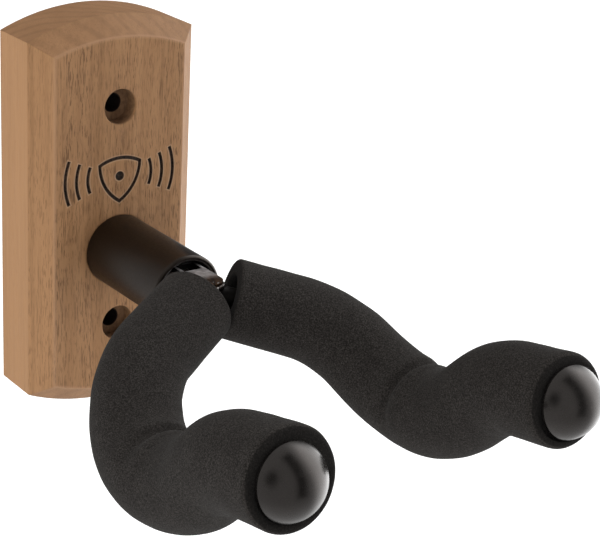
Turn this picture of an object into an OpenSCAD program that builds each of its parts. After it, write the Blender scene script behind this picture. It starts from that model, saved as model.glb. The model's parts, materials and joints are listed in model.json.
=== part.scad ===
// Wall guitar hanger: a hardwood block, a steel standoff tube and a padded yoke that turns on a bolt.
// Millimetres. The wall is the plane Y = 0, the hanger stands out towards -Y and +Z is up.
// The origin is the middle of the block's back face.

/* [Wood block] */
// Width of the block
block_w = 51; // [48:0.5:60]
// Height of the block's straight sides
side_h = 102; // [94:1:120]
// How far the top and bottom edges bow out beyond the sides
bow = 5.5; // [3:0.5:8]
// Thickness of the block
block_t = 21; // [20:0.5:26]
// Width of the 45 degree chamfer round the front face
chamfer = 5.4; // [2:0.1:6]

/* [Wall screws] */
// Distance between the two screw holes
screw_pitch = 63.6; // [58:0.2:76]
// Diameter of a screw hole
screw_d = 5.2; // [4:0.1:6]
// Diameter of the counterbore for a screw head
counterbore_d = 10; // [8:0.5:12]
// Depth of the counterbore
counterbore_t = 4.8; // [3:0.2:7]

/* [Engraving] */
// Height of the engraving's middle above the block's middle
mark_z = 12; // [10:0.5:14]
// Width of an engraved line
mark_line = 0.9; // [0.5:0.1:1.2]
// Depth of the engraving
mark_t = 0.5; // [0.2:0.1:0.8]

/* [Standoff tube] */
// Drop of the tube's axis below the block's middle
tube_drop = 9.6; // [8:0.1:11]
// Outside diameter of the tube
tube_d = 20.2; // [20:0.1:21]
// Wall thickness of the tube
tube_wall = 1.6; // [1.2:0.1:1.6]
// Length of tube in front of the block
tube_reach = 36.5; // [30:0.5:60]
// Depth of the socket that the tube is glued into
socket_t = 9.5; // [8:0.5:9.5]

/* [Swivel] */
// Diameter of the swivel bolt
bolt_d = 6; // [5.6:0.1:6]
// Depth of the recess in the block's back for the nut
recess_t = 8.5; // [8.5:0.1:9]
// Diameter of the recess for the nut
recess_d = 21; // [20.5:0.5:24]
// How far back from the tube's mouth the bracket's end plate lies
plate_back = 6.2; // [6:0.1:9]
// Thickness of the bracket
bracket_t = 1.5; // [1.4:0.1:1.8]
// Width of the bracket's tongue
tongue_w = 7.2; // [6:0.2:7.2]

/* [Yoke rod] */
// Diameter of the rod
rod_d = 6; // [5:0.2:6]
// Bend radius where the rod crosses the bracket
crown_bend = 8; // [7:0.5:8]
// Reach of the crown in front of the tube's mouth
crown_reach = 9.6; // [9:0.1:12]
// Rise of the crown above the tube's axis
crown_rise = 3.3; // [3:0.1:3.3]
// Distance of the shoulder bend to the side
shoulder_side = 30.5; // [29:0.5:32]
// Reach of the shoulder bend
shoulder_reach = 24.5; // [23:0.5:26]
// Drop of the shoulder bend
shoulder_drop = 7.2; // [6:0.2:9]
// Bend radius at the shoulder
shoulder_bend = 27; // [18:1:30]
// Distance of the elbow bend to the side
elbow_side = 40; // [39:0.5:42]
// Reach of the elbow bend
elbow_reach = 42.5; // [41:0.5:44]
// Drop of the elbow bend
elbow_drop = 22.5; // [21:0.5:24]
// Bend radius at the elbow
elbow_bend = 24; // [18:1:26]
// Distance of the heel bend to the side
heel_side = 38.5; // [37:0.5:40]
// Reach of the heel bend
heel_reach = 65; // [64:0.5:66]
// Drop of the heel bend
heel_drop = 19.5; // [18:0.5:21]
// Bend radius at the heel
heel_bend = 26; // [18:1:28]
// Distance of the wrist bend and the tip to the side
tip_side = 40; // [39:0.5:42]
// Reach of the wrist bend
wrist_reach = 81.5; // [80:0.5:83]
// Drop of the wrist bend
wrist_drop = 3; // [2:0.5:5]
// Bend radius at the wrist
wrist_bend = 20; // [16:1:22]
// Reach of the foam's outer end
tip_reach = 104; // [100:0.5:116]
// Rise of the foam's outer end above the tube's axis
tip_rise = 1.4; // [0.4:0.1:4]

/* [Foam and caps] */
// Diameter of the foam sleeves
foam_d = 22.4; // [20:0.2:23]
// Distance of a sleeve's inner end from the crown, along the rod
foam_start = 5.4; // [5.2:0.1:8]
// Diameter of an end cap
cap_d = 18; // [15:0.2:18]
// Height of an end cap's dome
cap_dome = 6.4; // [5:0.2:8]

/* [Hidden] */
$fn = 72;

eps = 0.01;
// Radial gap of a running or sliding fit
fit = 0.05;
// Gap between flat faces that rub
face_gap = 0.1;
// Where a bent bar's straight run meets a bend: its lap into the bend, and how much thinner it is
bend_lap = 0.3;
bend_step = 0.02;

axis_z = -tube_drop;
mouth_y = -(block_t + tube_reach);
tube_r = tube_d / 2;
tube_bore_r = tube_r - tube_wall;
bolt_r = bolt_d / 2;
rod_r = rod_d / 2;

// The bow of the block's ends is an arc through the side corners
bow_r = (pow(block_w / 2, 2) + pow(bow, 2)) / (2 * bow);
bow_z = side_h / 2 + bow - bow_r;

// Bushes and washers
bush_l = 10;
washer_t = 0.8;
back_washer_t = 1.2;
spring_t = 0.5;
spring_h = 1;
nut_t = 4;
nut_flats = 10;
nut_chamfer = 0.1;
insert_t = 1.3;
insert_d = 8.2;
// Depth of the nylon ring under the nut's outer face
insert_in = 0.4;
bolt_head_d = 10.4;
bolt_head_t = 2.6;
neck_w = 6.4;
thrust_r = 7.5;
nut_washer_r = 6.2;
spring_r = 6.5;
// Clearance of the steel washers round the bolt, and of the bolt's hole in the wood
washer_gap = 0.2;
bolt_gap = 0.4;
// How far inside the back of the block the bolt's end lies
bolt_end_y = -0.4;
// Interference-free radial play of a part pressed or screwed on
press = 0.01;

// Bracket: its end plate closes on the front bush, its tongue lies on top of the rod
plate_r = 7.9;
tongue_bottom = crown_rise + rod_r - 0.75;
tongue_nose = crown_reach + 0.6;
window_w = 5.4;
window_l = 4.6;
// Web left between the window and the fold
window_web = 2.4;

// End caps: the rim stands off the foam's end over the push nut
push_nut_t = 0.6;
push_nut_d = 11;
cap_gap = 0.8;
cap_band = 0.6;
cap_wall = 1.2;
cap_boss_d = 9;
// How far the rod runs past the foam's end, and the depth of its bore in the cap
rod_past = 4.6;
cap_bore = 4;

// Engraving: side of the plectrum's triangle, its dot, and the sound waves' radii and spread
pick_side = 13.5;
dot_r = 1.3;
wave_r = [10, 13.5, 17];
wave_spread = [30, 12];

// Bend points of one arm, as side, reach in front of the mouth, and rise above the tube's axis
crown = [0, crown_reach, crown_rise];
shoulder = [shoulder_side, shoulder_reach, -shoulder_drop];
elbow = [elbow_side, elbow_reach, -elbow_drop];
heel = [heel_side, heel_reach, -heel_drop];
wrist = [tip_side, wrist_reach, -wrist_drop];
tip = [tip_side, tip_reach, tip_rise];
tip_dir = unit(tip - wrist);
foam_in = crown + unit(shoulder - crown) * foam_start;
rod_end = tip + tip_dir * rod_past;
arm_bends = [shoulder_bend, elbow_bend, heel_bend, wrist_bend];
half_rod = [shoulder, elbow, heel, wrist, rod_end];

function unit(v) = v / norm(v);
function turn(a, b, c) = acos(unit(b - a) * unit(c - b));
function setback(a, b, c, bend) = bend * tan(turn(a, b, c) / 2);
function mirrored(v) = [-v.x, v.y, v.z];
function reversed(list) = [for (i = [len(list) - 1:-1:0]) list[i]];
// From side, reach and rise to the hanger's own frame
function place(v) = [v.x, mouth_y - v.y, axis_z + v.z];
// An axis square to direction d
function square_to(d) = unit(cross(d, abs(d.z) < 0.9 ? [0, 0, 1] : [1, 0, 0]));

// Puts the children's frame at p, with the axes x, y and z
module at_frame(p, x, y, z) {
    multmatrix([[x.x, y.x, z.x, p.x],
                [x.y, y.y, z.y, p.y],
                [x.z, y.z, z.z, p.z],
                [0, 0, 0, 1]]) children();
}

// Puts the children's +Z along direction d, starting at p
module along(p, d) {
    side = square_to(d);
    at_frame(p, side, cross(d, side), d) children();
}

// Children drawn along +Z stand on the tube's axis, starting at y and running towards the yoke
module on_axis(y) {
    translate([0, y, axis_z]) rotate([90, 0, 0]) children();
}

// A round bar of radius r along the points, with a bend of its own radius at each inner point.
// The straight runs are a hair thinner than the bends and end just inside them.
module bent_bar(points, bends, r) {
    last = len(points) - 1;
    back = [for (i = [0:last])
        i == 0 || i == last ? 0
            : setback(points[i - 1], points[i], points[i + 1], bends[i - 1])];
    for (i = [0:last - 1]) {
        d = unit(points[i + 1] - points[i]);
        from = back[i] - (i == 0 ? 0 : bend_lap);
        to = norm(points[i + 1] - points[i]) - back[i + 1] + (i == last - 1 ? 0 : bend_lap);
        along(points[i] + d * from, d) cylinder(r = r - bend_step, h = to - from);
    }
    for (i = [1:last - 1]) {
        d = unit(points[i] - points[i - 1]);
        normal = unit(cross(d, points[i + 1] - points[i]));
        inward = cross(normal, d);
        bend = bends[i - 1];
        at_frame(points[i] - d * back[i] + inward * bend, -inward, d, normal)
            rotate_extrude(angle = turn(points[i - 1], points[i], points[i + 1]))
                translate([bend, 0]) circle(r = r);
    }
}

module ring(outer_r, inner_r, h) {
    difference() {
        cylinder(r = outer_r, h = h);
        translate([0, 0, -1]) cylinder(r = inner_r, h = h + 2);
    }
}

// Block outline seen from above, with the chamfered front corners
module block_plan() {
    half = block_w / 2;
    polygon([[-half, 0], [half, 0], [half, chamfer - block_t], [half - chamfer, -block_t],
             [chamfer - half, -block_t], [-half, chamfer - block_t]]);
}

// A disc that bows one end of the block and carries its chamfer
module bow_disc(z) {
    translate([0, 0, z]) rotate([90, 0, 0]) {
        translate([0, 0, -eps]) cylinder(r = bow_r, h = block_t - chamfer + eps, $fn = 180);
        translate([0, 0, block_t - chamfer])
            cylinder(r1 = bow_r, r2 = bow_r - chamfer, h = chamfer, $fn = 180);
    }
}

// A plectrum: three arcs of radius r, each about the opposite corner of a triangle
module plectrum(side, r) {
    intersection_for (a = [90, 210, 330]) {
        rotate(a) translate([side / sqrt(3), 0]) circle(r = r);
    }
}

// Generic engraving: a plectrum outline with sound waves on both sides
module mark() {
    difference() {
        rotate(180) plectrum(pick_side, pick_side);
        rotate(180) plectrum(pick_side, pick_side - mark_line);
    }
    circle(r = dot_r);
    for (side = [0, 180], r = wave_r) {
        rotate(side) intersection() {
            difference() {
                circle(r = r + mark_line / 2);
                circle(r = r - mark_line / 2);
            }
            polygon([[0, 0], [wave_spread.x, -wave_spread.y], wave_spread]);
        }
    }
}

module wood_block() {
    color("#92704F") difference() {
        intersection() {
            translate([0, 0, -side_h]) linear_extrude(2 * side_h) block_plan();
            bow_disc(bow_z);
            bow_disc(-bow_z);
        }
        for (z = [-screw_pitch / 2, screw_pitch / 2]) {
            translate([0, 1, z]) rotate([90, 0, 0]) cylinder(d = screw_d, h = block_t + 2);
            translate([0, counterbore_t - block_t, z]) rotate([90, 0, 0])
                cylinder(d = counterbore_d, h = counterbore_t + 1);
        }
        on_axis(1) cylinder(r = bolt_r + bolt_gap, h = block_t + 2);
        on_axis(1) cylinder(d = recess_d, h = recess_t + 1);
        on_axis(socket_t - block_t) cylinder(r = tube_r + fit, h = socket_t + 1);
        translate([0, mark_t - block_t, mark_z]) rotate([90, 0, 0])
            linear_extrude(mark_t + 1) mark();
    }
}

// Steel tube with a rolled lip
module standoff_tube() {
    lip = tube_wall / 2;
    length = socket_t + tube_reach;
    color("#2A231F") on_axis(socket_t - block_t) rotate_extrude() {
        translate([tube_bore_r, 0]) square([tube_wall, length - lip]);
        translate([tube_bore_r + lip, length - lip]) circle(r = lip, $fn = 32);
    }
}

// Nylon bush that centres the bolt in the tube
module bush(y) {
    color("#1B1B1C") on_axis(y) ring(tube_bore_r - fit, bolt_r + fit, bush_l);
}

module front_bush() {
    bush(mouth_y + plate_back + washer_t + 2 * face_gap + bush_l);
}

module rear_bush() {
    bush(socket_t - block_t);
}

// Steel washer that spreads the bolt's pull over the wood in the recess
module back_washer() {
    color("#8D8F92") on_axis(-recess_t + back_washer_t)
        ring(recess_d / 2 - 0.5, bolt_r + washer_gap, back_washer_t);
}

rear_stack_y = -recess_t + back_washer_t;

module rear_thrust_washer() {
    color("#E4E2DA") on_axis(rear_stack_y + washer_t) ring(thrust_r, bolt_r + fit, washer_t);
}

module front_thrust_washer() {
    color("#E4E2DA") on_axis(mouth_y + plate_back + washer_t + face_gap)
        ring(plate_r, bolt_r + fit, washer_t);
}

spring_y = rear_stack_y + washer_t + face_gap + spring_h;

// Coned spring washer that gives the swivel its drag
module spring_washer() {
    inner = bolt_r + washer_gap;
    color("#A7A9AC") on_axis(spring_y) rotate_extrude()
        polygon([[inner, 0], [spring_r, spring_h - spring_t], [spring_r, spring_h],
                 [inner, spring_t]]);
}

module nut_washer() {
    color("#8D8F92") on_axis(spring_y + washer_t) ring(nut_washer_r, bolt_r + fit, washer_t);
}

nut_y = spring_y + washer_t + nut_t;

module lock_nut() {
    color("#9C9EA1") on_axis(nut_y) difference() {
        intersection() {
            cylinder(d = nut_flats / cos(30), h = nut_t, $fn = 6);
            cylinder(r1 = nut_flats / 2 + nut_chamfer, r2 = nut_flats / 2 + nut_chamfer + nut_t,
                     h = nut_t);
        }
        translate([0, 0, -1]) cylinder(r = bolt_r + press, h = nut_t + 2);
        translate([0, 0, insert_in]) cylinder(d = insert_d, h = insert_t);
    }
}

// Nylon ring that grips the thread
module nut_insert() {
    color("#2F4E8C") on_axis(nut_y - insert_in) ring(insert_d / 2, bolt_r + press, insert_t);
}

// Square-necked bolt that turns with the bracket
module swivel_bolt() {
    head_y = mouth_y + plate_back - bracket_t;
    dome_r = (pow(bolt_head_d / 2, 2) + pow(bolt_head_t, 2)) / (2 * bolt_head_t);
    color("#3A3A3C") {
        on_axis(bolt_end_y) cylinder(r = bolt_r, h = bolt_end_y - head_y);
        on_axis(head_y) intersection() {
            cylinder(d = bolt_head_d, h = bolt_head_t);
            translate([0, 0, bolt_head_t - dome_r]) sphere(r = dome_r);
        }
        on_axis(head_y + bracket_t) translate([-neck_w / 2, -neck_w / 2, 0])
            cube([neck_w, neck_w, bracket_t]);
    }
}

// Folded steel bracket: an end plate on the bolt and a round-nosed tongue on the rod
module yoke_bracket() {
    hole_w = neck_w + 2 * fit;
    back_y = mouth_y + plate_back;
    color("#4A4542") difference() {
        union() {
            on_axis(back_y) cylinder(r = plate_r, h = bracket_t);
            translate([0, back_y, axis_z + tongue_bottom]) rotate([90, 0, 0])
                translate([-tongue_w / 2, 0, 0])
                    cube([tongue_w, bracket_t, plate_back + tongue_nose]);
            translate([0, mouth_y - tongue_nose, axis_z + tongue_bottom])
                cylinder(d = tongue_w, h = bracket_t);
        }
        on_axis(back_y + 1) translate([-hole_w / 2, -hole_w / 2, 0])
            cube([hole_w, hole_w, bracket_t + 2]);
        translate([-window_w / 2, back_y - bracket_t - window_l - window_web,
                   axis_z + tongue_bottom - 1])
            cube([window_w, window_l, bracket_t + 2]);
    }
}

// One bent rod carries both arms
module yoke_rod() {
    points = concat(reversed([for (p = half_rod) mirrored(p)]), [crown], half_rod);
    bends = concat(reversed(arm_bends), [crown_bend], arm_bends);
    color("#2B2A2A") bent_bar([for (p = points) place(p)], bends, rod_r);
}

module foam_sleeve() {
    points = [for (p = [foam_in, shoulder, elbow, heel, wrist, tip]) place(p)];
    color("#34302D") difference() {
        bent_bar(points, arm_bends, foam_d / 2);
        bent_bar(points, arm_bends, rod_r + fit);
        translate([-foam_d, mouth_y - 60, axis_z - 30]) cube([foam_d + face_gap, 60, 60]);
    }
}

module right_foam_sleeve() {
    foam_sleeve();
}

module left_foam_sleeve() {
    mirror([1, 0, 0]) foam_sleeve();
}

// Children drawn along +Z stand on the right arm's foam end
module on_tip() {
    p = place(tip);
    d = unit(place(tip) - place(wrist));
    along(p, d) children();
}

// Spring steel nut pushed onto the rod to hold the sleeve and the cap
module push_nut() {
    color("#8D8F92") on_tip() translate([0, 0, face_gap])
        ring(push_nut_d / 2, rod_r + press, push_nut_t);
}

module right_push_nut() {
    push_nut();
}

module left_push_nut() {
    mirror([1, 0, 0]) push_nut();
}

// Profile of a dome with a short straight band under it, for the cap's outside and inside
module dome_profile(r, band, rise) {
    dome_r = (r * r + rise * rise) / (2 * rise);
    square([r, band]);
    intersection() {
        translate([0, band + rise - dome_r]) circle(r = dome_r);
        translate([0, band]) square([r, rise + 1]);
    }
}

// Dome with a hollow ring round the boss that fits the rod's end
module end_cap() {
    color("#1C1C1D") on_tip() translate([0, 0, cap_gap]) difference() {
        rotate_extrude() difference() {
            dome_profile(cap_d / 2, cap_band, cap_dome);
            intersection() {
                translate([0, -eps])
                    dome_profile(cap_d / 2 - cap_wall, cap_band, cap_dome - cap_wall);
                translate([cap_boss_d / 2, -1]) square([cap_d, cap_dome + 2]);
            }
        }
        translate([0, 0, -1]) cylinder(r = rod_r + press, h = cap_bore + 1);
    }
}

module right_end_cap() {
    end_cap();
}

module left_end_cap() {
    mirror([1, 0, 0]) end_cap();
}

wood_block();
standoff_tube();
front_bush();
rear_bush();
back_washer();
rear_thrust_washer();
front_thrust_washer();
swivel_bolt();
spring_washer();
nut_washer();
lock_nut();
nut_insert();
yoke_bracket();
yoke_rod();
left_foam_sleeve();
right_foam_sleeve();
left_push_nut();
right_push_nut();
left_end_cap();
right_end_cap();
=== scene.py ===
"""Looks of the wall guitar hanger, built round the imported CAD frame.

Metres throughout, +Z up. The wall is the plane Y = 0 and the hanger stands out from it towards -Y.
The wood block, tube, bracket, rod, caps and hardware are the CAD nodes with procedural materials.
The two foam sleeves and the weld bead are modelled here.
"""

import json
import math

import bpy
import numpy as np
from mathutils import Matrix, Vector, noise


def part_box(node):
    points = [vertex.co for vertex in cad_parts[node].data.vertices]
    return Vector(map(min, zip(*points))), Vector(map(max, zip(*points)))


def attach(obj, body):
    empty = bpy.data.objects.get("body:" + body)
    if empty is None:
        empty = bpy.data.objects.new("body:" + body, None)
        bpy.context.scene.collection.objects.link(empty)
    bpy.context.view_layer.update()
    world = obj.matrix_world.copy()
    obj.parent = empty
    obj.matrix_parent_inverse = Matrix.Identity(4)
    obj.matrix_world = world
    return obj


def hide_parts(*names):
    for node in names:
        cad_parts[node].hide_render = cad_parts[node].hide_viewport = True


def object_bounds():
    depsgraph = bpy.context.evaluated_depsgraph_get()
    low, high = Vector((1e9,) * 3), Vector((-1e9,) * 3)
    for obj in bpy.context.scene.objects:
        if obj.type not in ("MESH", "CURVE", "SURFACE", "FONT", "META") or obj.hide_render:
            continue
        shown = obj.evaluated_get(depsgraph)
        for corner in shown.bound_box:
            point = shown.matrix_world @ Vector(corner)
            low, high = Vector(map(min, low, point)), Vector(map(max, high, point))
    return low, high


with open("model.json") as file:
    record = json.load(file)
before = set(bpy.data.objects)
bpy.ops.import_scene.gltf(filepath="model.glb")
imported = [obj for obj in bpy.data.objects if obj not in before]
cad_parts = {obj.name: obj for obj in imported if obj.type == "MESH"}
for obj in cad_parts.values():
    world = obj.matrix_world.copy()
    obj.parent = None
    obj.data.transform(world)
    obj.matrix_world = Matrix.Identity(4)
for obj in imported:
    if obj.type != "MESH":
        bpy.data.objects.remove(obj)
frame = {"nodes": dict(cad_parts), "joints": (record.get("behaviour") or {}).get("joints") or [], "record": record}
cad_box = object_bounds()

MM = 0.001

# ---------------------------------------------------------------- the frame's own places

block_lo, block_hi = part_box("wood_block")
swivel = Vector(frame["joints"][0]["pos_m"])

# the block: half width, front face and top from the frame; the rest repeats the CAD design
BLOCK_HALF_W = block_hi.x
BLOCK_FRONT_Y = block_lo.y
BLOCK_TOP_Z = block_hi.z
CHAMFER = 5.4 * MM
BOW = 5.5 * MM
BOW_R = (BLOCK_HALF_W**2 + BOW**2) / (2 * BOW)
BOW_Z = BLOCK_TOP_Z - BOW_R
SCREW_PITCH = 63.6 * MM
SCREW_R = 2.6 * MM
COUNTERBORE_R = 5.0 * MM
COUNTERBORE_DEPTH = 4.8 * MM
# the bracket's tongue, whose nose is welded onto the rod
TONGUE_W = 7.2 * MM
TONGUE_BOTTOM_Z = swivel.z + 5.55 * MM
TONGUE_TOP_Z = TONGUE_BOTTOM_Z + 1.5 * MM

# ---------------------------------------------------------------- node helpers


class Graph:
    """A node tree with short calls for the nodes used here."""

    def __init__(self, tree):
        self.tree = tree
        tree.nodes.clear()

    def add(self, kind, inputs=None, **settings):
        node = self.tree.nodes.new(kind)
        for key, value in settings.items():
            setattr(node, key, value)
        for key, value in (inputs or {}).items():
            self.put(node.inputs[key], value)
        return node

    def put(self, socket, value):
        if isinstance(value, bpy.types.NodeSocket):
            self.tree.links.new(value, socket)
        elif isinstance(value, bpy.types.Node):
            self.tree.links.new(value.outputs[0], socket)
        else:
            socket.default_value = value

    def math(self, operation, a, b=0.0):
        return self.add("ShaderNodeMath", {0: a, 1: b}, operation=operation).outputs[0]

    def dot(self, a, b):
        node = self.add("ShaderNodeVectorMath", {0: a, 1: b}, operation="DOT_PRODUCT")
        return node.outputs["Value"]

    def ramp(self, value, low, high, to_low=0.0, to_high=1.0):
        """Smooth step of value from low..high to to_low..to_high."""
        node = self.add(
            "ShaderNodeMapRange",
            {"Value": value, "From Min": low, "From Max": high,
             "To Min": to_low, "To Max": to_high},
            interpolation_type="SMOOTHSTEP",
        )
        return node.outputs[0]

    def noise(self, vector, scale, detail=3.0, roughness=0.5):
        node = self.add(
            "ShaderNodeTexNoise",
            {"Vector": vector, "Scale": scale, "Detail": detail, "Roughness": roughness},
        )
        return node.outputs["Fac"]

    def cells(self, vector, scale):
        node = self.add("ShaderNodeTexVoronoi", {"Vector": vector, "Scale": scale})
        return node.outputs["Distance"]

    def stretch(self, vector, scale, offset=(0.0, 0.0, 0.0)):
        node = self.add("ShaderNodeMapping", {"Vector": vector, "Scale": scale, "Location": offset})
        return node.outputs[0]

    def mix(self, factor, a, b):
        node = self.add("ShaderNodeMix", data_type="RGBA")
        self.put(node.inputs[0], factor)
        self.put(node.inputs[6], a)
        self.put(node.inputs[7], b)
        return node.outputs[2]

    def bump(self, height, distance, strength, normal=None):
        node = self.add(
            "ShaderNodeBump", {"Height": height, "Distance": distance, "Strength": strength}
        )
        if normal is not None:
            self.put(node.inputs["Normal"], normal)
        return node.outputs[0]

    def split(self, vector):
        node = self.add("ShaderNodeSeparateXYZ", {0: vector})
        return node.outputs[0], node.outputs[1], node.outputs[2]

    def length2(self, a, b):
        squares = self.math("MULTIPLY", a, a), self.math("MULTIPLY", b, b)
        return self.math("SQRT", self.math("ADD", *squares))

    def soft_edges(self, radius):
        """A normal that rounds edges by radius, for the look only."""
        return self.add("ShaderNodeBevel", {"Radius": radius}, samples=4).outputs[0]


def rgb(r, g, b):
    return (r, g, b, 1.0)


def new_material(name):
    """An empty material and its graph, with object coordinates ready."""
    material = bpy.data.materials.new(name)
    material.use_nodes = True
    graph = Graph(material.node_tree)
    coords = graph.add("ShaderNodeTexCoord").outputs["Object"]
    return material, graph, coords


def close_material(graph, settings, normal=None):
    """End a material in a Principled shader with these settings."""
    shader = graph.add("ShaderNodeBsdfPrincipled", settings)
    if normal is not None:
        graph.put(shader.inputs["Normal"], normal)
    graph.add("ShaderNodeOutputMaterial", {"Surface": shader.outputs[0]})


# ---------------------------------------------------------------- materials


# The engraved mark, as in the CAD design: a plectrum with a dot in it, sound waves on both sides.
# Height of its middle above the block's, width, line width, the dot's radius, the waves' radii, and
# how far they spread up and down per distance to the side
MARK_Z = 12 * MM
PICK_W = 13.5 * MM
LINE_W = 0.9 * MM
DOT_R = 1.3 * MM
WAVE_RADII = (10 * MM, 13.5 * MM, 17 * MM)
WAVE_SPREAD = 0.4
# Directions of the plectrum's corners, in degrees; its sides are arcs about the far corners
PICK_CORNERS = (270, 30, 150)


def engraving_distance(g, x, z):
    """Signed distance in metres to the engraved lines: plectrum, dot and sound waves."""
    z = g.math("SUBTRACT", z, MARK_Z)
    corner = PICK_W / math.sqrt(3)
    edge = None
    for angle in PICK_CORNERS:
        a = math.radians(angle)
        to_corner = g.length2(
            g.math("SUBTRACT", x, corner * math.cos(a)),
            g.math("SUBTRACT", z, corner * math.sin(a)),
        )
        d = g.math("SUBTRACT", to_corner, PICK_W)
        edge = d if edge is None else g.math("MAXIMUM", edge, d)
    half = LINE_W / 2
    outline = g.math("SUBTRACT", g.math("ABSOLUTE", g.math("ADD", edge, half)), half)
    radius = g.length2(x, z)
    nearest = g.math("MINIMUM", outline, g.math("SUBTRACT", radius, DOT_R))
    spread = g.math("MULTIPLY", g.math("ABSOLUTE", x), WAVE_SPREAD)
    outside = g.math("SUBTRACT", g.math("ABSOLUTE", z), spread)
    for wave_r in WAVE_RADII:
        off_line = g.math("ABSOLUTE", g.math("SUBTRACT", radius, wave_r))
        wave = g.math("SUBTRACT", off_line, half)
        nearest = g.math("MINIMUM", nearest, g.math("MAXIMUM", wave, outside))
    return nearest


# The wood's colours, in linear light
WOOD_PALE = rgb(0.325, 0.174, 0.082)
WOOD_MID = rgb(0.256, 0.132, 0.058)
WOOD_DEEP = rgb(0.135, 0.066, 0.028)
WOOD_PORE = rgb(0.100, 0.049, 0.022)
WOOD_SIDE = rgb(0.36, 0.194, 0.088)
WOOD_END = rgb(0.225, 0.122, 0.063)
WOOD_RING = rgb(0.15, 0.078, 0.038)
WOOD_WORN = rgb(0.40, 0.235, 0.135)
# the painted highlight round the engraved lines
ENGRAVING_HIGHLIGHT = rgb(0.42, 0.27, 0.165)
SOOT = rgb(0.010, 0.0065, 0.005), rgb(0.048, 0.028, 0.018)
# the counterbores' rough wood with painted shade, and the painted shade inside the screw holes
COUNTERBORE_WOOD_AND_SHADE = rgb(0.10, 0.058, 0.033), rgb(0.19, 0.11, 0.06)
SCREW_HOLE_SHADE = rgb(0.016, 0.010, 0.007)
# The growth rings run round a pith this far left of the block's middle and in front of the wall, in
# metres; radians of ring per metre, and how many radians the rings waver
PITH_LEFT, PITH_FRONT = 0.05, 0.06
RING_RATE, RING_WAVER = 1500, 14


def wood_grain(g, coords):
    """Bands, streaks, fibre and pores: noises along the grain, which runs along Z and wanders.

    Each triple is the number of noise cells per metre along X, Y and Z.
    """
    x, y, z = g.split(coords)
    wander = g.noise(g.stretch(coords, (30, 30, 14)), 1.0, 2.0)
    along = g.add("ShaderNodeCombineXYZ", {
        0: g.math("ADD", x, g.math("MULTIPLY", wander, 0.004)),
        1: g.math("ADD", y, g.math("MULTIPLY", wander, 0.003)),
        2: z,
    }).outputs[0]
    bands = g.noise(g.stretch(along, (150, 150, 5)), 1.0, 3.0, 0.55)
    streaks = g.noise(g.stretch(along, (760, 760, 22)), 1.0, 4.0, 0.65)
    fibre = g.noise(g.stretch(along, (2900, 2900, 140)), 1.0, 3.0, 0.7)
    dashes = g.noise(g.stretch(along, (3200, 3200, 330)), 1.0, 2.0, 0.55)
    crowd = g.noise(g.stretch(along, (230, 230, 26), (3.0, 1.0, 0.0)), 1.0, 2.0)
    long_pores = g.noise(g.stretch(along, (2800, 2800, 110), (7.0, 0.0, 2.0)), 1.0, 2.0, 0.6)
    pores = g.math("MULTIPLY", g.ramp(dashes, 0.53, 0.63), g.ramp(crowd, 0.36, 0.6, 0.35, 0.9))
    pores = g.math("MAXIMUM", pores, g.math("MULTIPLY", g.ramp(long_pores, 0.58, 0.68), 0.7))
    return bands, streaks, fibre, pores


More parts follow.
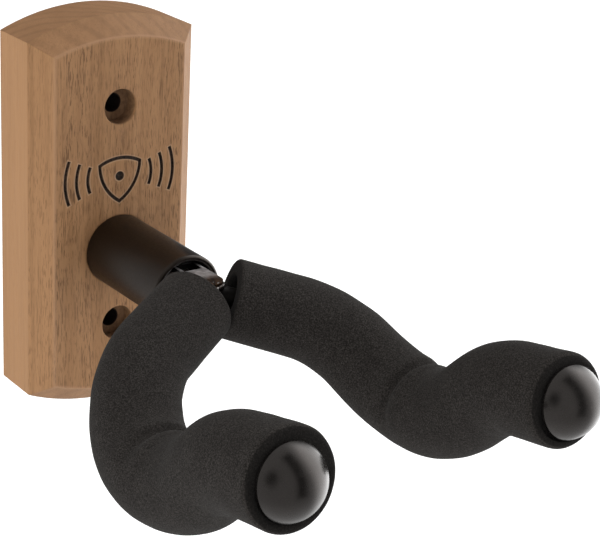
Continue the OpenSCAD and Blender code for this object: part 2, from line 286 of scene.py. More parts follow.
def make_wood():
    """Oiled hardwood: vertical grain with short dark pores, end grain on top, burnt engraving."""
    material, g, coords = new_material("walnut")
    x, y, z = g.split(coords)
    bands, streaks, fibre, pores = wood_grain(g, coords)
    tone = g.mix(g.ramp(bands, 0.34, 0.66), WOOD_MID, WOOD_PALE)
    tone = g.mix(g.math("MULTIPLY", g.ramp(streaks, 0.46, 0.70), 0.42), tone, WOOD_DEEP)
    tone = g.mix(g.ramp(fibre, 0.3, 0.7, 0.0, 0.35), tone, WOOD_PALE)

    # the sides are paler with fewer pores; the ends show rings and tiny specks
    normal = g.split(g.add("ShaderNodeNewGeometry").outputs["Normal"])
    side = g.ramp(g.math("ABSOLUTE", normal[0]), 0.5, 0.98)
    end = g.ramp(g.math("ABSOLUTE", normal[2]), 0.35, 0.85)
    plain = g.math("MAXIMUM", side, end)
    pores = g.math("MULTIPLY", pores, g.ramp(plain, 0.0, 1.0, 0.85, 0.3))
    tone = g.mix(pores, tone, WOOD_PORE)
    tone = g.mix(g.math("MULTIPLY", side, 0.5), tone, WOOD_SIDE)
    tone = g.mix(g.math("MULTIPLY", end, 0.6), tone, WOOD_END)
    from_pith = g.length2(g.math("ADD", x, PITH_LEFT), g.math("ADD", y, PITH_FRONT))
    waver = g.math("MULTIPLY", g.noise(g.stretch(coords, (40, 40, 0)), 1.0, 2.0), RING_WAVER)
    rings = g.math("SINE", g.math("ADD", g.math("MULTIPLY", from_pith, RING_RATE), waver))
    on_end = g.math("MULTIPLY", g.ramp(rings, 0.1, 1.0), end)
    tone = g.mix(g.math("MULTIPLY", on_end, 0.28), tone, WOOD_RING)

    # sanded edges of the front face are a little paler
    to_side = g.math("SUBTRACT", BLOCK_HALF_W - CHAMFER, g.math("ABSOLUTE", x))
    up = g.math("ABSOLUTE", z)
    from_bow = g.length2(x, g.math("SUBTRACT", up, BOW_Z))
    to_bow = g.math("SUBTRACT", BOW_R - CHAMFER, from_bow)
    to_edge = g.math("ABSOLUTE", g.math("MINIMUM", to_side, to_bow))
    front = g.ramp(y, BLOCK_FRONT_Y + 0.7 * MM, BLOCK_FRONT_Y + 0.2 * MM)
    worn = g.math("MULTIPLY", g.ramp(to_edge, 0.8 * MM, 0.1 * MM), front)
    tone = g.mix(g.math("MULTIPLY", worn, 0.4), tone, WOOD_WORN)

    # engraving: burnt in the groove, with a painted highlight line round it where the groove's edges catch the
    # light
    distance = engraving_distance(g, x, z)
    near_front = g.ramp(y, BLOCK_FRONT_Y + 1.2 * MM, BLOCK_FRONT_Y + 0.9 * MM)
    edge_highlight = g.math("MULTIPLY", g.ramp(distance, 0.55 * MM, 0.12 * MM), near_front)
    tone = g.mix(g.math("MULTIPLY", edge_highlight, 0.6), tone, ENGRAVING_HIGHLIGHT)
    burnt = g.math("MULTIPLY", g.ramp(distance, 0.1 * MM, -0.02 * MM), near_front)
    soot = g.mix(g.ramp(g.noise(coords, 1400, 3.0), 0.3, 0.7), *SOOT)
    tone = g.mix(burnt, tone, soot)

    # the counterbores are cut rough and painted dark down to their floors, as rough wood and painted shade; the
    # screw holes are painted darker still, as shade
    inside = g.ramp(y, BLOCK_FRONT_Y + 0.4 * MM, BLOCK_FRONT_Y + 1.4 * MM)
    from_hole = g.length2(x, g.math("SUBTRACT", up, SCREW_PITCH / 2))
    wide = g.ramp(from_hole, COUNTERBORE_R + 0.2 * MM, COUNTERBORE_R + 0.1 * MM)
    bored_and_shaded = g.math("MULTIPLY", wide, inside)
    rough_cut_and_shade = g.mix(g.ramp(g.noise(coords, 900, 3.0), 0.35, 0.65), *COUNTERBORE_WOOD_AND_SHADE)
    bore_end = BLOCK_FRONT_Y + COUNTERBORE_DEPTH
    bored_and_shaded = g.math("MULTIPLY", bored_and_shaded, g.ramp(y, bore_end + 0.6 * MM, bore_end + 0.3 * MM))
    tone = g.mix(g.math("MULTIPLY", bored_and_shaded, 0.7), tone, rough_cut_and_shade)
    hole_shade = g.ramp(from_hole, SCREW_R + 0.25 * MM, SCREW_R + 0.05 * MM)
    tone = g.mix(g.math("MULTIPLY", hole_shade, inside), tone, SCREW_HOLE_SHADE)

    height = g.math("SUBTRACT", g.math("MULTIPLY", fibre, 0.35), pores)
    roughness = g.ramp(fibre, 0.2, 0.8, 0.52, 0.7)
    close_material(
        g,
        {"Base Color": tone, "Roughness": roughness, "Specular IOR Level": 0.2},
        g.bump(height, 0.10 * MM, 0.5, g.soft_edges(0.55 * MM)),
    )
    return material


# How far painted, folded and drawn metal edges look rounded
METAL_EDGE = 0.3 * MM


def make_paint(name, dark, light, gloss_tint, roughness, speck_scale, bump):
    """Satin powder coat: a fine orange peel with slight colour drift and softened edges."""
    material, g, coords = new_material(name)
    drift = g.noise(coords, 90, 3.0)
    peel = g.noise(coords, speck_scale, 2.0)
    tone = g.mix(g.ramp(drift, 0.3, 0.7), dark, light)
    close_material(
        g,
        {"Base Color": tone, "Specular IOR Level": 0.5, "Specular Tint": gloss_tint,
         "Roughness": g.ramp(peel, 0.25, 0.75, roughness - 0.04, roughness + 0.06)},
        g.bump(peel, bump, 0.4, g.soft_edges(METAL_EDGE)),
    )
    return material


def make_steel(name, base, roughness, brush, wear=None):
    """Metal with fine drawing marks, blotches of dullness and, if asked, bright rubbed edges."""
    material, g, coords = new_material(name)
    marks = g.noise(g.stretch(coords, brush), 1.0, 4.0, 0.6)
    blotch = g.noise(coords, 260, 4.0, 0.6)
    tone = g.mix(g.ramp(blotch, 0.3, 0.7), base, rgb(*(c * 0.72 for c in base[:3])))
    edge_normal = g.soft_edges(METAL_EDGE)
    if wear is not None:
        true_normal = g.add("ShaderNodeNewGeometry").outputs["Normal"]
        rubbed = g.ramp(g.dot(true_normal, edge_normal), 0.995, 0.9)
        patchy = g.ramp(g.noise(coords, 700, 3.0), 0.35, 0.6)
        tone = g.mix(g.math("MULTIPLY", rubbed, patchy), tone, wear)
    close_material(
        g,
        {"Base Color": tone, "Metallic": 1.0,
         "Roughness": g.ramp(marks, 0.25, 0.75, roughness - 0.08, roughness + 0.1)},
        g.bump(marks, 0.02 * MM, 0.5, edge_normal),
    )
    return material


# Bare bracket steel, the same browned by heat, and black paint with painted shade on its upright faces inside the
# mouth
BRACKET_BARE = rgb(0.62, 0.60, 0.60), rgb(0.40, 0.385, 0.385)
BRACKET_BURNT = rgb(0.035, 0.024, 0.018), rgb(0.15, 0.085, 0.05)
BRACKET_PAINT_AND_SHADE = rgb(0.008, 0.007, 0.006)


def make_bracket_steel():
    """Dull grey steel, browned by the welding heat at the tongue's nose."""
    material, g, coords = new_material("bracket_steel")
    marks = g.noise(g.stretch(coords, (1500, 300, 1500)), 1.0, 4.0, 0.6)
    blotch = g.noise(coords, 420, 4.0, 0.65)
    tone = g.mix(g.ramp(blotch, 0.35, 0.65), *BRACKET_BARE)
    y = g.split(coords)[1]
    ragged = g.math("ADD", y, g.math("MULTIPLY", blotch, 0.004))
    heat = g.ramp(ragged, swivel.y - 4.5 * MM, swivel.y - 8.5 * MM)
    tone = g.mix(heat, tone, g.mix(g.ramp(marks, 0.35, 0.65), *BRACKET_BURNT))
    # the window's upright walls and the end plate are near black, as black paint and painted shade inside the
    # tube's mouth; the flat faces are bare
    facing = g.math("ABSOLUTE", g.split(g.add("ShaderNodeTexCoord").outputs["Normal"])[2])
    behind_nose = g.ramp(y, swivel.y - 4.5 * MM, swivel.y - 3.5 * MM)
    upright_paint_and_shade = g.math("MULTIPLY", g.ramp(facing, 0.8, 0.5), behind_nose)
    tone = g.mix(upright_paint_and_shade, tone, BRACKET_PAINT_AND_SHADE)
    close_material(
        g,
        {"Base Color": tone, "Metallic": 1.0, "Roughness": g.ramp(marks, 0.25, 0.75, 0.36, 0.55)},
        g.bump(marks, 0.03 * MM, 0.5, g.soft_edges(METAL_EDGE)),
    )
    return material


def make_weld():
    """Rippled weld metal: bright grey patches between dark scale."""
    material, g, coords = new_material("weld_steel")
    scale = g.noise(coords, 1500, 4.0, 0.6)
    tone = g.mix(g.ramp(scale, 0.42, 0.58), rgb(0.42, 0.40, 0.39), rgb(0.05, 0.038, 0.032))
    close_material(
        g,
        {"Base Color": tone, "Metallic": 1.0, "Roughness": g.ramp(scale, 0.35, 0.65, 0.26, 0.5)},
        g.bump(scale, 0.05 * MM, 0.6),
    )
    return material


def make_plastic(name, base, roughness, grain, bump, gloss_tint=(1.0, 1.0, 1.0, 1.0)):
    """Moulded plastic with a faint grain and slow colour drift."""
    material, g, coords = new_material(name)
    drift = g.noise(coords, 140, 3.0)
    fine = g.noise(coords, grain, 2.0)
    tone = g.mix(g.ramp(drift, 0.3, 0.7), base, rgb(*(c * 1.35 + 0.002 for c in base[:3])))
    close_material(
        g,
        {"Base Color": tone, "Specular IOR Level": 0.5, "Specular Tint": gloss_tint,
         "Roughness": g.ramp(fine, 0.25, 0.75, roughness - 0.03, roughness + 0.04)},
        g.bump(fine, bump, 0.3),
    )
    return material


# Foam: its two main tones, the pale flecks, the slow dark clouds and the open cells of a cut face, also painted
# down the bore as shade
FOAM_TONES = rgb(0.0285, 0.0253, 0.023), rgb(0.0122, 0.0108, 0.0098)
FOAM_FLECK = rgb(0.052, 0.047, 0.0432)
FOAM_CLOUD = rgb(0.013, 0.0115, 0.0105)
FOAM_CUT_AND_SHADE = rgb(0.005, 0.0045, 0.0042)


def make_foam():
    """Closed-cell foam: charcoal with pale and dark cells, matte with a soft sheen."""
    material, g, coords = new_material("foam")
    cells = g.cells(coords, 2300)
    speck = g.noise(coords, 3100, 2.0, 0.6)
    cloud = g.noise(coords, 190, 4.0, 0.6)
    tone = g.mix(g.ramp(cells, 0.15, 0.75), *FOAM_TONES)
    tone = g.mix(g.ramp(speck, 0.50, 0.72), tone, FOAM_FLECK)
    tone = g.mix(g.ramp(cloud, 0.35, 0.65, 0.0, 0.25), tone, FOAM_CLOUD)
    # cut ends show open cells, which look darker; deeper in the bore the same colour is painted shade
    cut_and_shade = g.add("ShaderNodeAttribute", attribute_name="cut_end_and_shade").outputs["Fac"]
    tone = g.mix(g.math("MULTIPLY", cut_and_shade, 0.66), tone, FOAM_CUT_AND_SHADE)
    height = g.math("ADD", g.math("MULTIPLY", cells, -0.6), g.math("MULTIPLY", speck, 0.8))
    close_material(
        g,
        {"Base Color": tone, "Roughness": 0.95, "Specular IOR Level": 0.08,
         "Sheen Weight": 0.02, "Sheen Roughness": 0.5},
        g.bump(height, 0.16 * MM, 0.6),
    )
    return material


MATERIALS = {
    "walnut": make_wood(),
    "tube_paint": make_paint(
        "tube_paint",
        dark=rgb(0.0024, 0.0016, 0.0012),
        light=rgb(0.004, 0.0028, 0.002),
        gloss_tint=rgb(0.74, 0.61, 0.52),
        roughness=0.36, speck_scale=1500, bump=0.02 * MM,
    ),
    "black_steel": make_steel(
        "black_steel", rgb(0.085, 0.07, 0.06), 0.36, (900, 900, 60), wear=rgb(0.5, 0.46, 0.42)
    ),
    "bracket_steel": make_bracket_steel(),
    "rod_paint": make_paint(
        "rod_paint",
        dark=rgb(0.002, 0.0018, 0.0016),
        light=rgb(0.004, 0.0036, 0.0032),
        gloss_tint=rgb(0.45, 0.42, 0.4),
        roughness=0.48, speck_scale=1800, bump=0.02 * MM,
    ),
    "zinc_steel": make_steel("zinc_steel", rgb(0.62, 0.62, 0.61), 0.3, (1400, 1400, 1400)),
    "black_nylon": make_plastic(
        "black_nylon", rgb(0.012, 0.012, 0.013), roughness=0.5, grain=1200, bump=0.03 * MM
    ),
    "white_nylon": make_plastic(
        "white_nylon", rgb(0.6, 0.58, 0.52), roughness=0.45, grain=1200, bump=0.02 * MM
    ),
    "blue_nylon": make_plastic(
        "blue_nylon", rgb(0.025, 0.06, 0.22), roughness=0.4, grain=1200, bump=0.02 * MM
    ),
    "cap_plastic": make_plastic(
        "cap_plastic", rgb(0.0035, 0.003, 0.0027), roughness=0.25, grain=500, bump=0.003 * MM,
        gloss_tint=rgb(1.0, 0.91, 0.86),
    ),
    "foam": make_foam(),
    "weld_steel": make_weld(),
}
# Nodes whose own finish differs from the rest of their slot
OWN_FINISH = {"yoke_bracket": "bracket_steel", "yoke_rod": "rod_paint"}
node_slot = {row["node"]: row["material_slot"] for row in frame["record"]["subparts"]}
for name, obj in frame["nodes"].items():
    obj.data.materials.clear()
    obj.data.materials.append(MATERIALS[OWN_FINISH.get(name, node_slot[name])])


def add_to_scene(obj):
    bpy.context.scene.collection.objects.link(obj)
    return obj


# ---------------------------------------------------------------- foam sleeves

# Bend points of one arm (side, reach in front of the tube's mouth, rise above its axis) and the
# radius of the bend there, in millimetres, as in the CAD design
CROWN = (0.0, 9.6, 3.3)
ARM = (
    ((30.5, 24.5, -7.2), 27.0),
    ((40.0, 42.5, -22.5), 24.0),
    ((38.5, 65.0, -19.5), 26.0),
    ((40.0, 81.5, -3.0), 20.0),
)
TIP = (40.0, 104.0, 1.4)
FOAM_START = 5.4
RING_STEP = 0.45 * MM
RING_POINTS = 96
# how often the centreline and its pulls are smoothed
LINE_PASSES, PULL_PASSES = 6, 14


def place(point):
    """A design point in the frame, on the +X side."""
    side, reach, rise = point
    return Vector((side * MM, swivel.y - reach * MM, swivel.z + rise * MM))


def arm_line():
    """The foam's centreline: its points, tangents and pulls towards the inside of the bends."""
    first, second = place(CROWN), place(ARM[0][0])
    corners = [first + (second - first).normalized() * FOAM_START * MM]
    corners += [place(p) for p, _ in ARM] + [place(TIP)]
    corners[-1] += (corners[-1] - corners[-2]).normalized() * PAD_PAST
    points, tangents, pulls = [], [], []

    def sample(point, tangent, pull):
        points.append(point)
        tangents.append(tangent.normalized())
        pulls.append(pull)

    start = corners[0]
    for i in range(1, len(corners) - 1):
        before = (corners[i] - corners[i - 1]).normalized()
        after = (corners[i + 1] - corners[i]).normalized()
        bend = ARM[i - 1][1] * MM
        turn = before.angle(after)
        setback = bend * math.tan(turn / 2)
        enter = corners[i] - before * setback
        steps = max(1, round((enter - start).length / RING_STEP))
        for k in range(steps):
            sample(start.lerp(enter, k / steps), before, Vector())
        inward = (after - before * before.dot(after)).normalized()
        centre = enter + inward * bend
        steps = max(2, round(bend * turn / RING_STEP))
        for k in range(steps):
            a = turn * k / steps
            out = -inward * math.cos(a) + before * math.sin(a)
            ease = math.sin(math.pi * k / steps)
            sample(centre + out * bend, before * math.cos(a) + inward * math.sin(a), -out * ease)
        start = corners[i] + after * setback
    last = corners[-1]
    direction = (last - start).normalized()
    steps = max(1, round((last - start).length / RING_STEP))
    for k in range(steps + 1):
        sample(start.lerp(last, k / steps), direction, Vector())
    return points, tangents, pulls


def smooth(values, passes):
    """The vectors, each averaged with its neighbours, as often as passes says."""
    for _ in range(passes):
        values = [
            (values[max(i - 1, 0)] + values[i] * 2 + values[min(i + 1, len(values) - 1)]) / 4
            for i in range(len(values))
        ]
    return values


def lerp_table(table, t):
    """Value at t of a short list of (t, value), eased between neighbours."""
    for (t0, v0), (t1, v1) in zip(table, table[1:]):
        if t <= t1:
            k = min(1.0, max(0.0, (t - t0) / (t1 - t0)))
            return v0 + (v1 - v0) * k * k * (3 - 2 * k)
    return table[-1][1]


# Foam radius in millimetres by share of the sleeve's length: squeezed thin at the start, fuller
# round the elbow
FOAM_RADIUS = (0.0, 10.75), (0.2, 10.95), (0.45, 11.75), (0.72, 11.5)
RIM_R = 0.65 * MM
RIM_TURNS = 5
FACE_STEPS = (0.0, 0.25, 0.5, 0.75)
BORE_R = 4.15 * MM
# the bore is worn open at the inner end and makes room for the push nut at the outer one
MOUTH_R = 6.5 * MM
MOUTH_RINGS = 12
NUT_ROOM_R = 6.0 * MM
NUT_ROOM_RINGS = 4
BORE_STRIDE = 3
# the sleeve reaches this far past its CAD end, up to the cap's rim
PAD_PAST = 0.7 * MM
# the inside of a bend bulges, its outside is drawn thin, and the whole skin wavers a little
BULGE, DRAWN, WAVER = 0.35 * MM, 0.25 * MM, 0.1 * MM
# creases inside the bends: pitch along the sleeve, depth, and the pull from which they show
CREASE_PITCH, CREASE_DEPTH, CREASE_FROM = 2.1 * MM, 0.3 * MM, 0.35
# how far they stray, how sharp they are and at what level they lie, and how fast they fade in
CREASE_STRAY, CREASE_SHARP, CREASE_LEVEL, CREASE_FADE = 1.6, 0.6, 0.6, 1.2
# noise cells per metre for the waver, the creases' run and the patches without creases
WAVER_SCALE, CREASE_SCALE, PATCH_SCALE = 160, 220, 130
# the fold that the foam makes between the elbow and the heel: distance along the sleeve, width,
# depth, direction of its deepest point on the +X side, and the swelling beside it
FOLD_AT, FOLD_W, FOLD_DEPTH = 61.5 * MM, 2.1 * MM, 1.25 * MM
FOLD_TOWARDS = Vector((-0.35, 0.05, 0.93)).normalized()
SWELL_OFF, SWELL_W, SWELL = 4.6 * MM, 3.2 * MM, 0.55 * MM
# how far the fold reaches past the sleeve's sides, as the cosine of an angle from that direction
FOLD_WRAP = 0.1
# towards its tip, from this share of its length, each loose sleeve swells to a radius of its own in
# millimetres, is pushed off the rod's middle (given for the +X side) and ends in a rim of its own
LIFT_FROM = 0.72
LEFT_TIP = 12.1, Vector((-0.45, 0.0, 0.2)) * MM, 1.3 * MM
RIGHT_TIP = 11.7, Vector((-0.35, 0.0, 0.1)) * MM, 1.9 * MM
# rings round the outer rim, of which the first ones still look like skin
TIP_TURNS, TIP_SKIN_TURNS = 8, 4
# the outer end face as (radius in millimetres, share of its hollow): underneath, below this height
# of the direction from its middle, it stands back behind the cap
TIP_FACE = (9.65, 0.0), (9.45, 1.0), (8.4, 1.0), (7.2, 1.0), (6.0, 1.0)
TIP_GAP = 1.5 * MM
TIP_GAP_BELOW = 0.1
# how dark the foam is painted: 1 on a cut face for its open cells, more down the bore as painted shade, where no
# light comes
BORE_SHADE = 1.5


def build_foam(name, mirror, seed, tip_radius, tip_push, tip_rim):
    """One sleeve: a swept skin with end faces and a bore, creased inside its bends."""
    points, tangents, pulls = arm_line()
    points = smooth(points, LINE_PASSES)
    tangents = [t.normalized() for t in smooth(tangents, LINE_PASSES)]
    pulls = smooth(pulls, PULL_PASSES)
    travelled = [0.0]
    for a, b in zip(points, points[1:]):
        travelled.append(travelled[-1] + (b - a).length)
    total = travelled[-1]
    lift = (LIFT_FROM, 0.0), (1.0, 1.0)
    for i in range(len(points)):
        points[i] = points[i] + tip_push * lerp_table(lift, travelled[i] / total)

    side = tangents[0].cross(Vector((0, 0, 1))).normalized()
    sides = []
    for i, t in enumerate(tangents):
        side = (side - t * side.dot(t)).normalized()
        sides.append(side)

    def ring(i, radius_of, shift=lambda out: 0.0):
        """Points round station i, each moved along the sleeve by shift of its direction."""
        t, u = tangents[i], sides[i]
        w = t.cross(u)
        made = []
        for k in range(RING_POINTS):
            a = 2 * math.pi * k / RING_POINTS
            out = u * math.cos(a) + w * math.sin(a)
            made.append(points[i] + out * radius_of(out, i) + t * shift(out))
        return made

    def outer_radius(out, i):
        """Radius of the skin at station i in the direction out."""
        s = travelled[i]
        base = lerp_table(FOAM_RADIUS + ((1.0, tip_radius),), s / total) * MM
        pull = out.dot(pulls[i])
        inside = max(0.0, pull)
        bulge = BULGE * inside - DRAWN * max(0.0, -pull)
        where = points[i] + out * base
        waver = noise.noise(where * WAVER_SCALE + Vector((seed, 0, 0)))
        run = noise.noise(where * CREASE_SCALE + Vector((0, seed, 0)))
        phase = s / CREASE_PITCH + CREASE_STRAY * run
        crease = abs(math.sin(math.pi * phase)) ** CREASE_SHARP - CREASE_LEVEL
        crease *= CREASE_DEPTH * max(0.0, inside - CREASE_FROM) ** CREASE_FADE
        patch = 0.5 + 0.5 * noise.noise(where * PATCH_SCALE + Vector((0, 0, seed)))
        reach = max(0.0, (out.dot(FOLD_TOWARDS) + FOLD_WRAP) / (1 + FOLD_WRAP))
        fold = -FOLD_DEPTH * math.exp(-(((s - FOLD_AT) / FOLD_W) ** 2))
        for beside in (FOLD_AT - SWELL_OFF, FOLD_AT + SWELL_OFF):
            fold += SWELL * math.exp(-(((s - beside) / SWELL_W) ** 2))
        return base + bulge + WAVER * waver + crease * patch + fold * reach

    rings, cut_and_shade = [], []

    def push(points_of_ring, how_cut_and_shaded):
        rings.append(points_of_ring)
        cut_and_shade.append(how_cut_and_shaded)

    last = len(points) - 1

    bore_stations = (
        (0, MOUTH_R), (MOUTH_RINGS, BORE_R),
        (last - MOUTH_RINGS, BORE_R), (last - NUT_ROOM_RINGS, NUT_ROOM_R),
    )

    # inner end face, from the bore out to its rim
    for f in FACE_STEPS:
        push(ring(0, lambda out, i: MOUTH_R + (outer_radius(out, i) - RIM_R - MOUTH_R) * f), 1.0)
    for k in range(RIM_TURNS):
        a = math.pi / 2 * k / RIM_TURNS
        push(
            ring(0, lambda out, i: outer_radius(out, i) - RIM_R * (1 - math.sin(a)),
                 lambda out: RIM_R * (1 - math.cos(a))),
            1.0 if k == 0 else 0.0,
        )
    skip = math.ceil(RIM_R / RING_STEP)
    tip_skip = math.ceil(tip_rim / RING_STEP) + 1
    for i in range(skip, last - tip_skip + 1):
        push(ring(i, outer_radius), 0.0)

    # outer rim and end face
    for k in range(1, TIP_TURNS + 1):
        a = math.pi / 2 * k / TIP_TURNS
        push(
            ring(last, lambda out, i: outer_radius(out, i) - tip_rim * (1 - math.cos(a)),
                 lambda out: -tip_rim * (1 - math.sin(a))),
            1.0 if k > TIP_SKIN_TURNS else 0.0,
        )
    for radius, hollow in TIP_FACE:
        push(
            ring(last, lambda out, i: radius * MM,
                 lambda out: -TIP_GAP * hollow * max(0.0, TIP_GAP_BELOW - out.z)),
            1.0,
        )
    # back through the bore to the inner end, painted darker than a cut face as shade
    for i in range(last - 2, 1, -BORE_STRIDE):
        push(ring(i, lambda out, i: lerp_table(bore_stations, i)), BORE_SHADE)

    flip = -1.0 if mirror else 1.0
    verts = [(v.x * flip, v.y, v.z) for r in rings for v in r]
    faces = []
    n, count = RING_POINTS, len(rings)
    for j in range(count):
        a, b = j * n, ((j + 1) % count) * n
        for k in range(n):
            q = (a + k, a + (k + 1) % n, b + (k + 1) % n, b + k)
            faces.append(q if not mirror else q[::-1])
    mesh = bpy.data.meshes.new(name)
    mesh.from_pydata(verts, [], faces)
    attribute = mesh.attributes.new("cut_end_and_shade", "FLOAT", "POINT")
    attribute.data.foreach_set("value", np.repeat(np.array(cut_and_shade, np.float32), n))
    mesh.validate()
    mesh.shade_smooth()
    mesh.materials.append(MATERIALS["foam"])
    return add_to_scene(bpy.data.objects.new(name, mesh))


for name, node, mirror, seed, tip in (
    ("right_foam_pad", "right_foam_sleeve", False, 3.0, RIGHT_TIP),
    ("left_foam_pad", "left_foam_sleeve", True, 11.0, LEFT_TIP),
):
    pad = build_foam(name, mirror, seed, *tip)
    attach(pad, "yoke")
    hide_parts(node)

# ---------------------------------------------------------------- weld bead

BEAD_R = 0.62 * MM
BEAD_RING, BEAD_STEPS = 14, 60
# the bead runs round the nose to this angle on both sides, this far outside its edge and above the
# tongue's underside
BEAD_REACH = 100
BEAD_OUT, BEAD_UP = 0.1 * MM, 0.15 * MM
# how uneven the bead is, how many ripples it has, how deep they are, and how it thins at its ends
BEAD_LUMP, BEAD_LUMP_SCALE = 0.18, 1300
RIPPLES, RIPPLE_DEPTH = 9, 0.18
BLUNT_RATE, BLUNT_SHARE = 6, 0.15
# spatter on the nose: droplets, rows of points in each, flattening, and ranges of angle in degrees,
# distance from the nose's middle as a share of its radius, and size in millimetres
DROPS, DROP_ROWS, DROP_FLAT = 9, 6, 0.7
DROP_ANGLE, DROP_REACH, DROP_SIZE = (-80, 80), (0.45, 0.92), (0.14, 0.3)
DROP_SEED = 7


def build_weld():
    """One rippled bead round the tongue's nose, where it sits on the rod, with a little spatter."""
    nose_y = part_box("yoke_bracket")[0].y + TONGUE_W / 2
    verts, faces = [], []

    def add_bead(path, radius_at):
        start = len(verts)
        for i, centre in enumerate(path):
            t = (path[min(i + 1, len(path) - 1)] - path[max(i - 1, 0)]).normalized()
            u = t.cross(Vector((0, 0, 1))).normalized()
            w = t.cross(u)
            for k in range(BEAD_RING):
                a = 2 * math.pi * k / BEAD_RING
                out = u * math.cos(a) + w * math.sin(a)
                lump = 1.0 + BEAD_LUMP * noise.noise(centre * BEAD_LUMP_SCALE + out)
                verts.append(tuple(centre + out * radius_at(i / (len(path) - 1)) * lump))
        for i in range(len(path) - 1):
            a, b = start + i * BEAD_RING, start + (i + 1) * BEAD_RING
            for k in range(BEAD_RING):
                faces.append((a + k, a + (k + 1) % BEAD_RING, b + (k + 1) % BEAD_RING, b + k))
        faces.append(tuple(range(start, start + BEAD_RING))[::-1])
        end = start + (len(path) - 1) * BEAD_RING
        faces.append(tuple(range(end, end + BEAD_RING)))

    def add_drop(middle, size):
        """A round droplet sunk a little into the steel under it."""
        start = len(verts)
        for j in range(1, DROP_ROWS):
            a = math.pi * j / DROP_ROWS
            for k in range(BEAD_RING):
                b = 2 * math.pi * k / BEAD_RING
                verts.append((middle.x + size * math.sin(a) * math.cos(b),
                              middle.y + size * math.sin(a) * math.sin(b),
                              middle.z + size * DROP_FLAT * math.cos(a)))
        for j in range(DROP_ROWS - 2):
            a, b = start + j * BEAD_RING, start + (j + 1) * BEAD_RING
            for k in range(BEAD_RING):
                faces.append((a + k, b + k, b + (k + 1) % BEAD_RING, a + (k + 1) % BEAD_RING))
        faces.append(tuple(range(start, start + BEAD_RING)))
        end = start + (DROP_ROWS - 2) * BEAD_RING
        faces.append(tuple(range(end, end + BEAD_RING))[::-1])

    def rippled(f):
        """Bead radius at the share f of its length."""
        ends = min(1.0, BLUNT_RATE * min(f, 1 - f) + BLUNT_SHARE)
        ripple = abs(math.sin(math.pi * RIPPLES * f))
        return BEAD_R * ends * (1 - RIPPLE_DEPTH + RIPPLE_DEPTH * ripple)

    arc = []
    arc_r = TONGUE_W / 2 + BEAD_OUT
    for i in range(BEAD_STEPS + 1):
        a = math.radians(-BEAD_REACH + 2 * BEAD_REACH * i / BEAD_STEPS)
        side, reach = math.sin(a) * arc_r, math.cos(a) * arc_r
        arc.append(Vector((side, nose_y - reach, TONGUE_BOTTOM_Z + BEAD_UP)))
    add_bead(arc, rippled)
    rng = np.random.default_rng(DROP_SEED)
    for _ in range(DROPS):
        a = math.radians(rng.uniform(*DROP_ANGLE))
        r = TONGUE_W / 2 * rng.uniform(*DROP_REACH)
        size = rng.uniform(*DROP_SIZE) * MM
        add_drop(Vector((math.sin(a) * r, nose_y - math.cos(a) * r, TONGUE_TOP_Z)), size)
    mesh = bpy.data.meshes.new("nose_weld")
    mesh.from_pydata(verts, [], faces)
    mesh.validate()
    mesh.shade_smooth()
    mesh.materials.append(MATERIALS["weld_steel"])
    return add_to_scene(bpy.data.objects.new("nose_weld", mesh))


weld = build_weld()
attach(weld, "yoke")


# ---------------------------------------------------------------- studio

VIEW_AZIMUTH, VIEW_ELEVATION, VIEW_ROLL = 36.34, 20.94, 2.99
EYE = Vector((-245.1, -440.3, 172.4)) * MM
SENSOR_W, LENS = 36.0, 110.49


def add_camera():
    az, el, roll = (math.radians(a) for a in (VIEW_AZIMUTH, VIEW_ELEVATION, VIEW_ROLL))
    look = Vector((math.sin(az) * math.cos(el), math.cos(az) * math.cos(el), -math.sin(el)))
    level = Vector((math.cos(az), -math.sin(az), 0.0))
    above = level.cross(look)
    right = level * math.cos(roll) + above * math.sin(roll)
    up = above * math.cos(roll) - level * math.sin(roll)
    data = bpy.data.cameras.new("camera")
    data.sensor_width, data.lens = SENSOR_W, LENS
    data.clip_start, data.clip_end = 0.01, 50.0
    obj = add_to_scene(bpy.data.objects.new("camera", data))
    turn = Matrix((right, up, -look)).transposed().to_4x4()
    obj.matrix_world = Matrix.Translation(EYE) @ turn
    bpy.context.scene.camera = obj


# The floor's half size and its drop below the hanger, in metres, and its two pale tones
FLOOR_HALF, FLOOR_DROP = 12.0, 0.42
FLOOR_TONES = rgb(0.9, 0.9, 0.9), rgb(0.93, 0.93, 0.925)


def add_floor():
    """A plain pale floor, well below the hanger as under a wall."""
    mesh = bpy.data.meshes.new("floor")
    half, z = FLOOR_HALF, cad_box[0].z - FLOOR_DROP
    corners = [(-half, -half, z), (half, -half, z), (half, half, z), (-half, half, z)]
    mesh.from_pydata(corners, [], [(0, 1, 2, 3)])
    floor = add_to_scene(bpy.data.objects.new("floor", mesh))
    material, g, coords = new_material("floor")
    tone = g.mix(g.ramp(g.noise(coords, 6.0), 0.3, 0.7), *FLOOR_TONES)
    close_material(g, {
        "Base Color": tone, "Roughness": 0.9, "Specular IOR Level": 0.1,
        "Emission Color": rgb(1.0, 1.0, 1.0), "Emission Strength": 0.4,
    })
    mesh.materials.append(material)
    floor.visible_glossy = False


# Lights: name, direction from the hanger's middle, and power in watts; all at one distance and size
SOFTBOXES = (
    ("left_softbox", (-1.0, -0.1, 0.25), 8.0),
    ("top_softbox", (-0.1, 0.1, 1.0), 4.6),
)
SOFTBOX_DISTANCE, SOFTBOX_SIZE = 1.4, 0.9


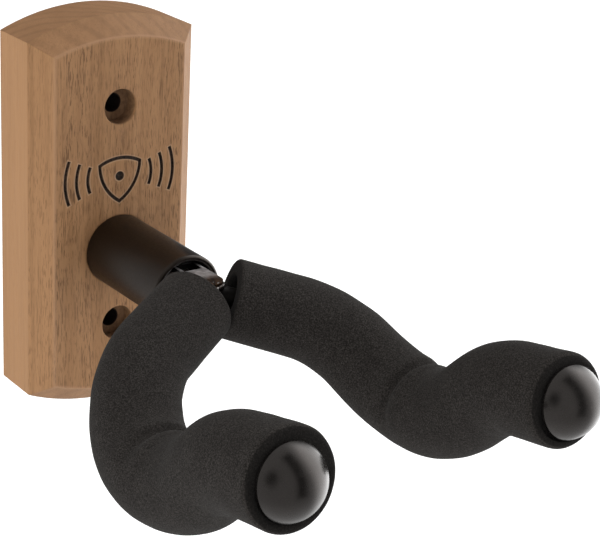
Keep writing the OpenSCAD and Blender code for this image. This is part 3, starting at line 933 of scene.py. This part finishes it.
def add_softbox(name, direction, power):
    """A square area light facing the hanger's middle; gloss mirrors the walls instead of it."""
    middle = (cad_box[0] + cad_box[1]) / 2
    out = Vector(direction).normalized()
    data = bpy.data.lights.new(name, "AREA")
    data.shape, data.size = "SQUARE", SOFTBOX_SIZE
    data.energy = power
    obj = add_to_scene(bpy.data.objects.new(name, data))
    obj.location = middle + out * SOFTBOX_DISTANCE
    obj.rotation_mode = "QUATERNION"
    obj.rotation_quaternion = out.to_track_quat("Z", "Y")
    obj.visible_camera = False
    obj.visible_glossy = False


# Strength of the studio's walls, and the parts of them that are dimmer or brighter: direction,
# inner and outer reach, share of the wall's light there, and flattening along Z (below 1 the patch
# is tall)
WALL_LIGHT = 0.76
WALL_PATCHES = (
    ((-0.88, -0.29, 0.38), 0.08, 0.44, 0.06, 0.8),
    ((0.3, 0.88, 0.28), 0.55, 1.0, 0.05, 1.5),
    ((1.0, 0.05, 0.18), 0.48, 1.02, 4.4, 0.85),
    ((0.0, 0.0, -1.0), 0.50, 0.95, 1.25, 1.0),
)
# A dim upright strip in front of the hanger: azimuth in degrees from -Y to +X, half width where it
# is darkest and where it ends, and share of the wall's light. It fades out towards the back and
# towards the floor between these parts of a direction
STRIP_AZIMUTH = 12.0
STRIP_INNER, STRIP_OUTER, STRIP_SHARE = 0.05, 0.38, 0.08
STRIP_BACK = 0.1, -0.15
STRIP_FOOT = -0.2, -0.6


def add_world():
    """White studio walls with dimmer and brighter parts, plain white where the camera sees them."""
    world = bpy.data.worlds.new("studio")
    bpy.context.scene.world = world
    world.use_nodes = True
    g = Graph(world.node_tree)
    direction = g.add("ShaderNodeTexCoord").outputs["Generated"]
    light = WALL_LIGHT
    for towards, inner, outer, share, flatten in WALL_PATCHES:
        aim = Vector(towards).normalized()
        offset = g.add("ShaderNodeVectorMath", {0: direction, 1: tuple(aim)}, operation="SUBTRACT")
        squash = (1.0, 1.0, flatten)
        flat = g.add("ShaderNodeVectorMath", {0: offset, 1: squash}, operation="MULTIPLY")
        apart = g.add("ShaderNodeVectorMath", {0: flat}, operation="LENGTH").outputs["Value"]
        light = g.math("MULTIPLY", light, g.ramp(apart, inner, outer, share, 1.0))
    azimuth = math.radians(STRIP_AZIMUTH)
    ahead = (math.sin(azimuth), -math.cos(azimuth), 0.0)
    across = (math.cos(azimuth), math.sin(azimuth), 0.0)
    aside = g.math("ABSOLUTE", g.dot(direction, across))
    height = g.split(direction)[2]
    open_wall = g.ramp(aside, STRIP_INNER, STRIP_OUTER)
    open_wall = g.math("MAXIMUM", open_wall, g.ramp(g.dot(direction, ahead), *STRIP_BACK))
    open_wall = g.math("MAXIMUM", open_wall, g.ramp(height, *STRIP_FOOT))
    light = g.math("MULTIPLY", light, g.ramp(open_wall, 0.0, 1.0, STRIP_SHARE, 1.0))
    seen = g.add("ShaderNodeLightPath").outputs["Is Camera Ray"]
    strength = g.add("ShaderNodeMix", data_type="FLOAT")
    g.put(strength.inputs[0], seen)
    g.put(strength.inputs[2], light)
    g.put(strength.inputs[3], 1.0)
    sky = g.add("ShaderNodeBackground", {"Color": rgb(1, 1, 1), "Strength": strength.outputs[0]})
    g.add("ShaderNodeOutputWorld", {"Surface": sky.outputs[0]})


add_camera()
add_floor()
add_world()
for softbox in SOFTBOXES:
    add_softbox(*softbox)
bpy.context.scene.view_settings.view_transform = "Standard"

# ---------------------------------------------------------------- sizes


def plain(box):
    return [list(corner) for corner in box]
